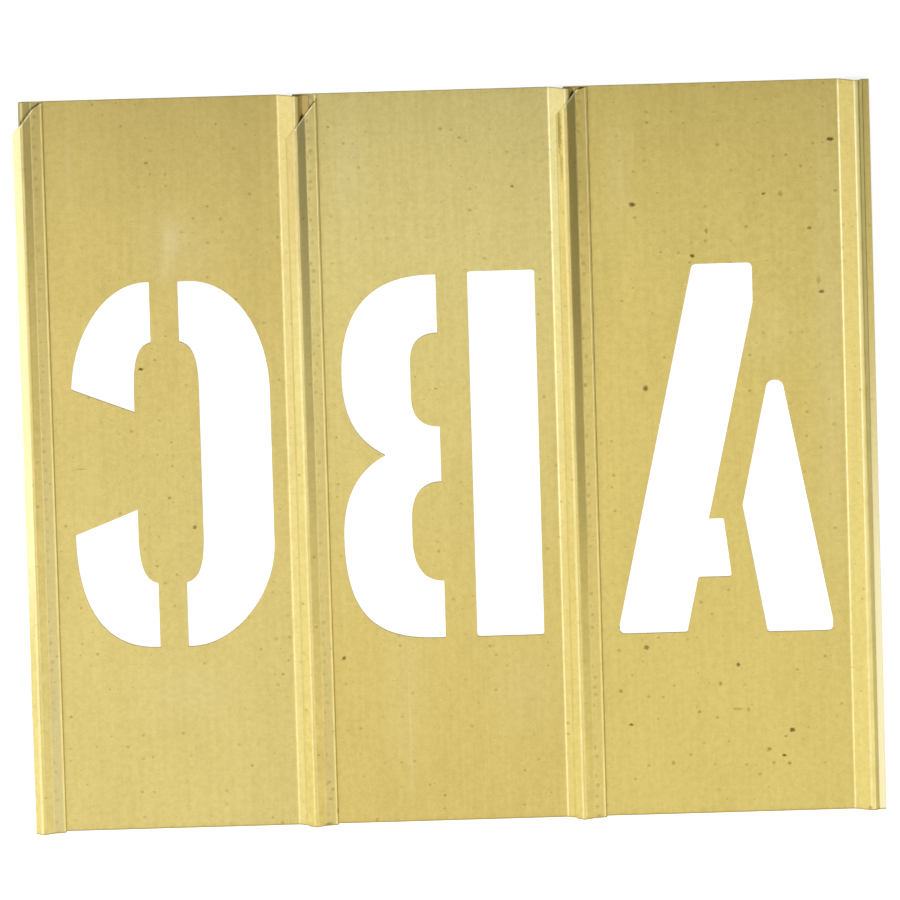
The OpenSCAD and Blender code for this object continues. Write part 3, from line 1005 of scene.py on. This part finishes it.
            # The free lip gets a painted highlight at its bottom half
            lit = self.span(self.y, -35, 40, 0.8, 0.0)
            end = self.hook + FREE_LIP_END
            beyond = self.span(self.x, end - 0.3, end)
            pale = self.math("MULTIPLY_ADD", beyond, self.math("SUBTRACT", lit, pale), pale)
        else:
            # The right side of the ridge lies in shade at the top
            right_side, half = -3.2, 0.72
            shade = self.times(self.near(self.x, self.fold + right_side, half),
                               self.span(self.y, 36, 60, 0.0, 0.35))
            self.paint(shade, SHADE_TINT)
        bends = (self.line(self.fold, *RIDGE_LINE[self.plate]),
                 self.line(self.hook, *BEND_LINE[self.plate]),
                 self.line(self.hook, *CREST_LINE[self.plate]))
        pale = self.most(pale, self.times(self.most(*bends), self.line_breakup), self.clipped_cut())
        self.paint(pale, HIGHLIGHT)

    def clipped_cut(self):
        """1 on the cut of the clipped corner, where the flap ends: the place of a painted highlight."""
        clip = PLATES[self.plate][2]
        slope = math.radians(CLIP_ANGLE)
        rise = math.tan(slope)
        start = (self.fold - FLAP_W - HALF) * rise - END + clip
        level = self.math("MULTIPLY_ADD", self.x, -rise, start)
        past = self.times(self.math("ADD", self.y, level), math.cos(slope))
        top_layer = self.math("GREATER_THAN", self.z, 0.95)
        beside_fold = self.near(self.x, self.fold - 2.75, 1.8)
        return self.times(self.span(past, -0.42, -0.25), top_layer, beside_fold)

    def late_shade_and_dirt(self):
        """Painted shade, darker lines, and dirt with a painted shadow along the next flap, over the painted
        highlights.
        """
        # Painted shade in the hollow before the hook's bend
        self.paint(self.line(self.hook, *BEND_SHADE), BROWN)
        # The flap: a little darker all over on plate A, and painted shade at the top of plate B's
        if self.plate == "plate_a":
            self.paint(self.times(self.flap, 0.16), BROWN)
        elif self.plate == "plate_b":
            self.paint(self.times(self.flap, self.span(self.y, 20, 60, 0.0, 0.42)), BROWN)
        else:
            # A darker line below the ridge
            self.paint(self.times(self.line(self.fold, *RIDGE_DARK_LINE), self.line_breakup), DIRT_AND_SHADE)
        if self.plate != "plate_a":
            # Dirt and a painted shadow along the edge of the next plate's flap, below its clipped corner
            next_clip = PLATES["plate_b" if self.plate == "plate_c" else "plate_a"][2]
            covered = self.math("LESS_THAN", self.y, END - next_clip)
            self.paint(self.times(self.line(self.hook, *FLAP_DIRT_AND_SHADOW), self.line_breakup, covered), DIRT_AND_SHADE)
        # A darker band along the foot
        foot = self.span(self.y, -END + 0.15, -END + 0.38, 0.9, 0.0)
        self.paint(foot, DIRT_AND_SHADE)

    def surface(self):
        """Metal with the painted colour, slightly rough and uneven."""
        bump_height = 0.000008
        shader = self.new("ShaderNodeBsdfPrincipled")
        self.put(self.colour, shader.inputs["Base Color"])
        shader.inputs["Metallic"].default_value = 1.0
        rough = self.math("MULTIPLY_ADD", self.mark, 0.1, self.span(self.mottle, 0.25, 0.75, 0.28, 0.33))
        self.put(rough, shader.inputs["Roughness"])
        height = self.math("ADD", self.times(self.mottle, 0.6), self.times(self.grain, 0.3))
        height = self.math("SUBTRACT", height, self.times(self.dent, 2.0))
        bump = self.new("ShaderNodeBump")
        bump.inputs["Strength"].default_value = 0.5
        bump.inputs["Distance"].default_value = bump_height
        self.put(height, bump.inputs["Height"])
        self.put(bump.outputs[0], shader.inputs["Normal"])
        out = self.new("ShaderNodeOutputMaterial")
        self.put(shader.outputs[0], out.inputs["Surface"])


# Floor and light, in metres
TENT = 0.22
COOL = (0.90, 0.94, 1.0)
FLOOR_SIZE = 8
FLOOR_GREY = 0.8
FLOOR_GLOW = 0.72
FLOOR_GAP = 0.00005


def panel(name, at, aim, width, height, level, colour=(1, 1, 1)):
    """A softbox whose surface has the given level, aimed at a point."""
    data = bpy.data.lights.new(name, "AREA")
    data.shape = "RECTANGLE"
    data.size = width
    data.size_y = height
    data.energy = level * math.pi * width * height
    data.color = colour
    lamp = bpy.data.objects.new(name, data)
    lamp.location = at
    lamp.rotation_mode = "QUATERNION"
    lamp.rotation_quaternion = (Vector(aim) - Vector(at)).to_track_quat("-Z", "Y")
    lamp.visible_camera = False
    bpy.context.collection.objects.link(lamp)


def overhead(name, x0, x1, y0, y1, level, colour=(1, 1, 1)):
    """A level panel of the light tent, close above the object."""
    x, y = (x0 + x1) / 2, (y0 + y1) / 2
    panel(name, (x, y, TENT), (x, y, 0), x1 - x0, y1 - y0, level, colour)


def make_lights():
    """A tent of soft panels above the object, and two narrow ones further off for the bends."""
    overhead("tent_top", -0.15, 0.115, -0.34, 0.006, 0.672)
    overhead("tent_front", -0.15, 0.115, -0.34, -0.085, 0.185)
    overhead("tent_front_right", 0.115, 0.45, -0.42, -0.120, 0.81)
    overhead("tent_right", 0.115, 0.15, -0.120, -0.060, 0.3)
    overhead("tent_left", -0.56, -0.15, -0.42, 0.12, 1.0, COOL)
    overhead("tent_far_left", -1.40, -0.58, -0.60, 0.30, 1.45, COOL)
    panel("left_strip", (-0.33, -0.34, 0.89), (0, 0, 0), 0.05, 0.5, 2.6, COOL)
    panel("right_strip", (0.44, -0.34, 0.83), (0, 0, 0), 0.08, 0.5, 1.6)


def make_world():
    """A grey room that lights the object, and a white background behind it."""
    world = bpy.data.worlds.new("studio")
    world.use_nodes = True
    bpy.context.scene.world = world
    n = Nodes(world.node_tree)
    direction = n.new("ShaderNodeTexCoord").outputs["Generated"]
    # A darker patch of the room at the upper right, which the right-hand slopes of the seams mirror
    toward = n.vector("DOT_PRODUCT", direction, Vector((0.75, -0.1, 0.65)).normalized())
    dome = n.span(toward, 0.55, 0.93, 0.44, 0.13)
    low_right = n.vector("DOT_PRODUCT", direction, Vector((0.93, -0.34, 0.12)).normalized())
    dome = n.math("ADD", dome, n.span(low_right, 0.86, 0.97, 0.0, 0.5))
    light = n.new("ShaderNodeBackground")
    n.put(dome, light.inputs["Strength"])
    light.inputs["Color"].default_value = (1, 1, 1, 1)
    white = n.new("ShaderNodeBackground")
    white.inputs["Color"].default_value = (1, 1, 1, 1)
    white.inputs["Strength"].default_value = 1.0
    choose = n.new("ShaderNodeMixShader")
    n.put(n.new("ShaderNodeLightPath").outputs["Is Camera Ray"], choose.inputs[0])
    n.put(light.outputs[0], choose.inputs[1])
    n.put(white.outputs[0], choose.inputs[2])
    out = n.new("ShaderNodeOutputWorld")
    n.put(choose.outputs[0], out.inputs["Surface"])


def make_floor():
    """White paper that takes the shadow of the object."""
    bpy.ops.mesh.primitive_plane_add(size=FLOOR_SIZE, location=(0, 0, -FLOOR_GAP))
    floor = bpy.context.object
    floor.name = "floor"
    paper = bpy.data.materials.new("paper")
    paper.use_nodes = True
    n = Nodes(paper.node_tree)
    matte = n.new("ShaderNodeBsdfDiffuse")
    matte.inputs["Color"].default_value = (FLOOR_GREY, FLOOR_GREY, FLOOR_GREY, 1)
    glow = n.new("ShaderNodeEmission")
    seen = n.new("ShaderNodeLightPath").outputs["Is Camera Ray"]
    n.put(n.times(seen, FLOOR_GLOW), glow.inputs["Strength"])
    both = n.new("ShaderNodeAddShader")
    n.put(matte.outputs[0], both.inputs[0])
    n.put(glow.outputs[0], both.inputs[1])
    out = n.new("ShaderNodeOutputMaterial")
    n.put(both.outputs[0], out.inputs["Surface"])
    floor.data.materials.append(paper)
    return floor


bpy.context.scene.camera = make_camera()
LETTERS = {"plate_c": letter_c(), "plate_b": letter_b(), "plate_a": letter_a()}
for plate, (cut, keep) in LETTERS.items():
    piece = make_plate(plate, cut, keep)
    piece.data.materials.append(Brass(plate).material)
make_lights()
make_world()
make_floor()

bpy.context.scene.view_settings.view_transform = "Standard"
